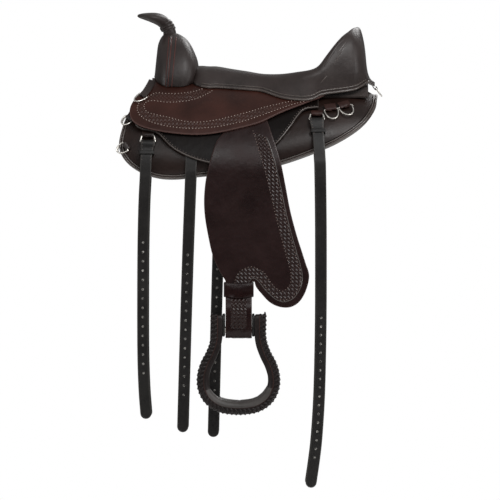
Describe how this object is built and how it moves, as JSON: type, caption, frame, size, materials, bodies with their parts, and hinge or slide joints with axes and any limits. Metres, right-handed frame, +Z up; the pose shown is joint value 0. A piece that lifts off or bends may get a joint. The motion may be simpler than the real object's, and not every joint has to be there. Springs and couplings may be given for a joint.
{
  "type": "treeless saddle",
  "caption": "Treeless Western-style saddle with horn, padded fork and cantle, jockeys, flaps, panels, fenders, covered stirrups and hanging billets.",
  "frame": {"origin": "on the spine line in the middle plane, at the top of the curve that the panels bear on, 249 mm behind the front of the panels", "axes": "+X towards the tail, +Y towards the saddle's right side, +Z up"},
  "size_m": [0.5583, 0.5414, 0.9959],
  "materials": {
    "black_leather": "smooth satin",
    "brown_leather": "oiled and tooled, satin",
    "strap_leather": "smooth, dull",
    "felt": "dense felt",
    "moulded_board": "matt",
    "polished_steel": "polished",
    "tread_rubber": "ribbed, matt"
  },
  "bodies": {
    "saddle": {"ground_seat": "felt", "stirrup_bridge": "strap_leather", "pommel_arch": "moulded_board", "fork_cover": "black_leather", "horn": "black_leather", "horn_wrap": "black_leather", "seat": "black_leather", "cantle_board": "moulded_board", "tail_tab": "black_leather", "panel_left": "black_leather", "panel_binding_left": "black_leather", "flap_left": "black_leather", "jockey_left": "brown_leather", "point_billet_tab_left": "brown_leather", "balance_billet_tab_left": "brown_leather", "panel_right": "black_leather", "panel_binding_right": "black_leather", "flap_right": "black_leather", "jockey_right": "brown_leather", "point_billet_tab_right": "brown_leather", "balance_billet_tab_right": "brown_leather"},
    "fender_left": {"fender_left": "brown_leather", "stirrup_leather_left": "brown_leather", "hobble_strap_left": "brown_leather"},
    "stirrup_left": {"stirrup_left": "brown_leather", "stirrup_bolt_left": "polished_steel", "tread_pad_left": "tread_rubber"},
    "point_billet_left": {"point_billet_left": "strap_leather", "point_billet_ring_left": "polished_steel", "point_billet_keeper_left": "strap_leather"},
    "balance_billet_left": {"balance_billet_left": "strap_leather", "balance_billet_ring_left": "polished_steel", "balance_billet_keeper_left": "strap_leather"},
    "girth_billet_front_left": {"girth_billet_front_left": "strap_leather"},
    "girth_billet_rear_left": {"girth_billet_rear_left": "strap_leather"},
    "front_dee_middle_left": {"front_dee_middle_left": "polished_steel"},
    "front_dee_lower_left": {"front_dee_lower_left": "polished_steel"},
    "rear_dee_front_left": {"rear_dee_front_left": "polished_steel"},
    "rear_dee_back_left": {"rear_dee_back_left": "polished_steel"},
    "front_dee_upper_left": {"front_dee_upper_left": "polished_steel"},
    "fender_right": {"fender_right": "brown_leather", "stirrup_leather_right": "brown_leather", "hobble_strap_right": "brown_leather"},
    "stirrup_right": {"stirrup_right": "brown_leather", "stirrup_bolt_right": "polished_steel", "tread_pad_right": "tread_rubber"},
    "point_billet_right": {"point_billet_right": "strap_leather", "point_billet_ring_right": "polished_steel", "point_billet_keeper_right": "strap_leather"},
    "balance_billet_right": {"balance_billet_right": "strap_leather", "balance_billet_ring_right": "polished_steel", "balance_billet_keeper_right": "strap_leather"},
    "girth_billet_front_right": {"girth_billet_front_right": "strap_leather"},
    "girth_billet_rear_right": {"girth_billet_rear_right": "strap_leather"},
    "front_dee_middle_right": {"front_dee_middle_right": "polished_steel"},
    "front_dee_lower_right": {"front_dee_lower_right": "polished_steel"},
    "rear_dee_front_right": {"rear_dee_front_right": "polished_steel"},
    "rear_dee_back_right": {"rear_dee_back_right": "polished_steel"},
    "front_dee_upper_right": {"front_dee_upper_right": "polished_steel"},
    "tail_dee": {"tail_dee": "polished_steel"}
  },
  "joints": [
    {"name": "fender_left_swing", "type": "hinge", "parent": "saddle", "child": "fender_left", "pos_m": [-0.008, -0.1794, -0.0605], "axis": [-0.9428, -0.1814, -0.2796], "range_deg": [0, 55]},
    {"name": "stirrup_left_swing", "type": "hinge", "parent": "fender_left", "child": "stirrup_left", "pos_m": [-0.022, -0.24371, -0.49], "axis": [-1, 0, 0], "range_deg": [0, 70]},
    {"name": "point_billet_left_swing", "type": "hinge", "parent": "saddle", "child": "point_billet_left", "pos_m": [-0.2115, -0.18392, -0.0835], "axis": [-1, 0, 0], "range_deg": [0, 65]},
    {"name": "balance_billet_left_swing", "type": "hinge", "parent": "saddle", "child": "balance_billet_left", "pos_m": [0.142, -0.1531, -0.0385], "axis": [-1, 0, 0], "range_deg": [0, 65]},
    {"name": "girth_billet_front_left_swing", "type": "hinge", "parent": "saddle", "child": "girth_billet_front_left", "pos_m": [-0.1285, -0.19918, -0.14], "axis": [0, 1, 0], "range_deg": [-3.5, 3.5]},
    {"name": "girth_billet_rear_left_swing", "type": "hinge", "parent": "saddle", "child": "girth_billet_rear_left", "pos_m": [-0.0665, -0.19918, -0.14], "axis": [0, 1, 0], "range_deg": [-3.5, 3.5]},
    {"name": "front_dee_middle_left_swing", "type": "hinge", "parent": "saddle", "child": "front_dee_middle_left", "pos_m": [-0.2505, -0.15637, -0.0465], "axis": [-0.7431, 0.4242, 0.5174], "range_deg": [0, 30]},
    {"name": "front_dee_lower_left_swing", "type": "hinge", "parent": "saddle", "child": "front_dee_lower_left", "pos_m": [-0.2585, -0.19117, -0.106], "axis": [-0.5299, 0.3099, 0.7894], "range_deg": [0, 95]},
    {"name": "rear_dee_front_left_swing", "type": "hinge", "parent": "saddle", "child": "rear_dee_front_left", "pos_m": [0.1715, -0.13929, -0.028], "axis": [-0.9781, -0.1498, -0.1442], "range_deg": [0, 95]},
    {"name": "rear_dee_back_left_swing", "type": "hinge", "parent": "saddle", "child": "rear_dee_back_left", "pos_m": [0.201, -0.13222, -0.0215], "axis": [-0.9272, -0.2815, -0.2472], "range_deg": [0, 95]},
    {"name": "front_dee_upper_left_swing", "type": "hinge", "parent": "saddle", "child": "front_dee_upper_left", "pos_m": [-0.221, -0.12842, 0.0015], "axis": [-0.766, 0.5155, 0.384], "range_deg": [0, 95]},
    {"name": "fender_right_swing", "type": "hinge", "parent": "saddle", "child": "fender_right", "pos_m": [-0.008, 0.1794, -0.0605], "axis": [0.9428, -0.1814, 0.2796], "range_deg": [0, 55]},
    {"name": "stirrup_right_swing", "type": "hinge", "parent": "fender_right", "child": "stirrup_right", "pos_m": [-0.022, 0.24371, -0.49], "axis": [1, 0, 0], "range_deg": [0, 70]},
    {"name": "point_billet_right_swing", "type": "hinge", "parent": "saddle", "child": "point_billet_right", "pos_m": [-0.2115, 0.18392, -0.0835], "axis": [1, 0, 0], "range_deg": [0, 65]},
    {"name": "balance_billet_right_swing", "type": "hinge", "parent": "saddle", "child": "balance_billet_right", "pos_m": [0.142, 0.1531, -0.0385], "axis": [1, 0, 0], "range_deg": [0, 65]},
    {"name": "girth_billet_front_right_swing", "type": "hinge", "parent": "saddle", "child": "girth_billet_front_right", "pos_m": [-0.1285, 0.19918, -0.14], "axis": [0, 1, 0], "range_deg": [-3.5, 3.5]},
    {"name": "girth_billet_rear_right_swing", "type": "hinge", "parent": "saddle", "child": "girth_billet_rear_right", "pos_m": [-0.0665, 0.19918, -0.14], "axis": [0, 1, 0], "range_deg": [-3.5, 3.5]},
    {"name": "front_dee_middle_right_swing", "type": "hinge", "parent": "saddle", "child": "front_dee_middle_right", "pos_m": [-0.2505, 0.15637, -0.0465], "axis": [0.7431, 0.4242, -0.5174], "range_deg": [0, 30]},
    {"name": "front_dee_lower_right_swing", "type": "hinge", "parent": "saddle", "child": "front_dee_lower_right", "pos_m": [-0.2585, 0.19117, -0.106], "axis": [0.5299, 0.3099, -0.7894], "range_deg": [0, 95]},
    {"name": "rear_dee_front_right_swing", "type": "hinge", "parent": "saddle", "child": "rear_dee_front_right", "pos_m": [0.1715, 0.13929, -0.028], "axis": [0.9781, -0.1498, 0.1442], "range_deg": [0, 95]},
    {"name": "rear_dee_back_right_swing", "type": "hinge", "parent": "saddle", "child": "rear_dee_back_right", "pos_m": [0.201, 0.13222, -0.0215], "axis": [0.9272, -0.2815, 0.2472], "range_deg": [0, 95]},
    {"name": "front_dee_upper_right_swing", "type": "hinge", "parent": "saddle", "child": "front_dee_upper_right", "pos_m": [-0.221, 0.12842, 0.0015], "axis": [0.766, 0.5155, -0.384], "range_deg": [0, 95]},
    {"name": "tail_dee_swing", "type": "hinge", "parent": "saddle", "child": "tail_dee", "pos_m": [0.2665, 0, 0.0165], "axis": [0, -1, 0], "range_deg": [0, 80]}
  ]
}
